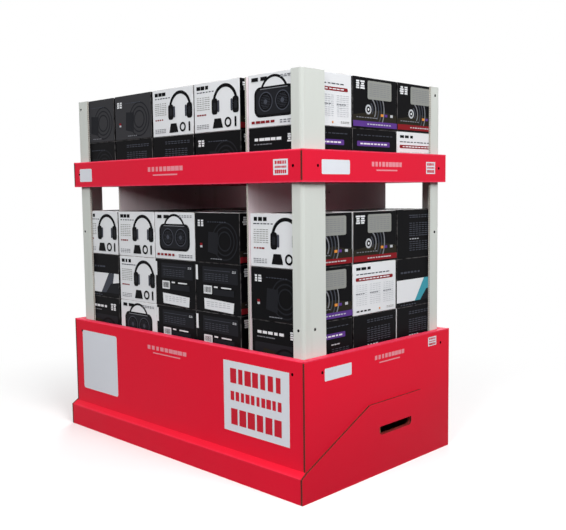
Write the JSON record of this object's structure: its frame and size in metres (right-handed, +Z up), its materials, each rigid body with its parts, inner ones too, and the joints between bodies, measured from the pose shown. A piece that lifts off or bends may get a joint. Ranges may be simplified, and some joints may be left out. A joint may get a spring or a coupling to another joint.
{
  "type": "pallet display",
  "caption": "Stocked floor display: red folded board walls around a wooden pallet, white corner posts, a rolled-edge shelf tray and stacked printed cartons.",
  "frame": {"origin": "on the floor, in the middle of the pallet and of the wall sleeve", "axes": "+Z up, +X along the front, -Y out of the front with the kick lip"},
  "size_m": [1.084, 0.673, 1.09],
  "materials": {
    "red_board": "corrugated board, printed red, satin varnish",
    "white_board": "white-lined corrugated board, matt",
    "carton_print": "printed carton board, soft gloss",
    "kraft_board": "plain kraft corrugated board",
    "pallet_wood": "rough-sawn softwood"
  },
  "bodies": {
    "root": {"wall_front": "red_board", "wall_back": "red_board", "wall_left": "red_board", "wall_right": "red_board", "shelf_tray": "red_board", "post_front_left": "white_board", "post_front_right": "white_board", "post_back_left": "white_board", "post_back_right": "white_board", "divider_lower_left": "white_board", "divider_lower_right": "white_board", "divider_upper_left": "white_board", "divider_upper_right": "white_board", "cartons_lower_1_front": "carton_print", "cartons_lower_1_middle": "carton_print", "cartons_lower_1_back": "carton_print", "cartons_lower_2_front": "carton_print", "cartons_lower_2_middle": "carton_print", "cartons_lower_2_back": "carton_print", "cartons_lower_3_front": "carton_print", "cartons_lower_3_middle": "carton_print", "cartons_lower_3_back": "carton_print", "cartons_lower_4_front": "carton_print", "cartons_lower_4_middle": "carton_print", "cartons_lower_4_back": "carton_print", "cartons_upper_1_front": "carton_print", "cartons_upper_1_middle": "carton_print", "cartons_upper_1_back": "carton_print", "cartons_upper_2_front": "carton_print", "cartons_upper_2_middle": "carton_print", "cartons_upper_2_back": "carton_print", "floor_pad": "kraft_board", "stringer_front": "pallet_wood", "stringer_middle": "pallet_wood", "stringer_back": "pallet_wood", "deck_board_1": "pallet_wood", "deck_board_2": "pallet_wood", "deck_board_3": "pallet_wood", "deck_board_4": "pallet_wood", "deck_board_5": "pallet_wood", "deck_board_6": "pallet_wood", "deck_board_7": "pallet_wood", "bottom_board_left": "pallet_wood", "bottom_board_middle": "pallet_wood", "bottom_board_right": "pallet_wood"}
  },
  "joints": []
}
